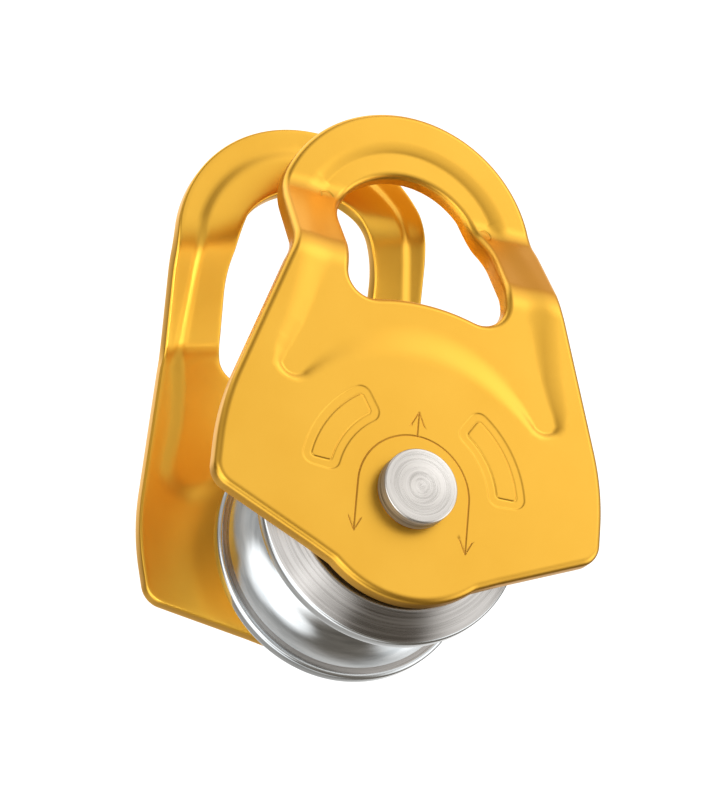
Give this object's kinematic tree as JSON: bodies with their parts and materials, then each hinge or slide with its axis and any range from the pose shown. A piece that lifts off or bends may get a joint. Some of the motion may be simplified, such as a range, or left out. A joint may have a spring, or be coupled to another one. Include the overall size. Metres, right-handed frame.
{
  "type": "rope pulley",
  "caption": "Single rope pulley with two swinging joggled side plates, a grooved sheave on a bushed, riveted axle and an attachment eye in each plate.",
  "frame": {"origin": "middle of the axle, half way between the two side plates", "axes": "+Y along the axle from the front plate to the rear plate, +Z from the axle towards the front plate's eye, +X to the right seen from the front"},
  "size_m": [0.0515, 0.0343, 0.071],
  "materials": {
    "gold_aluminium": "satin anodised, gold",
    "bare_aluminium": "turned and polished",
    "stainless_steel": "turned",
    "bronze": "sintered, oil filled"
  },
  "bodies": {
    "front_plate": {"front_side_plate": "gold_aluminium"},
    "axle": {"axle_pin": "stainless_steel", "spacer_sleeve": "stainless_steel", "front_thrust_washer": "stainless_steel", "rear_thrust_washer": "stainless_steel"},
    "sheave": {"sheave": "bare_aluminium", "sheave_bush": "bronze"},
    "rear_plate": {"rear_side_plate": "gold_aluminium"}
  },
  "joints": [
    {"name": "axle_turn", "type": "hinge", "parent": "front_plate", "child": "axle", "pos_m": [0, 0, 0], "axis": [0, 1, 0], "continuous": true},
    {"name": "rear_plate_swing", "type": "hinge", "parent": "axle", "child": "rear_plate", "pos_m": [0, 0, 0], "axis": [0, 1, 0], "continuous": true},
    {"name": "sheave_spin", "type": "hinge", "parent": "axle", "child": "sheave", "pos_m": [0, 0, 0], "axis": [0, 1, 0], "continuous": true}
  ]
}
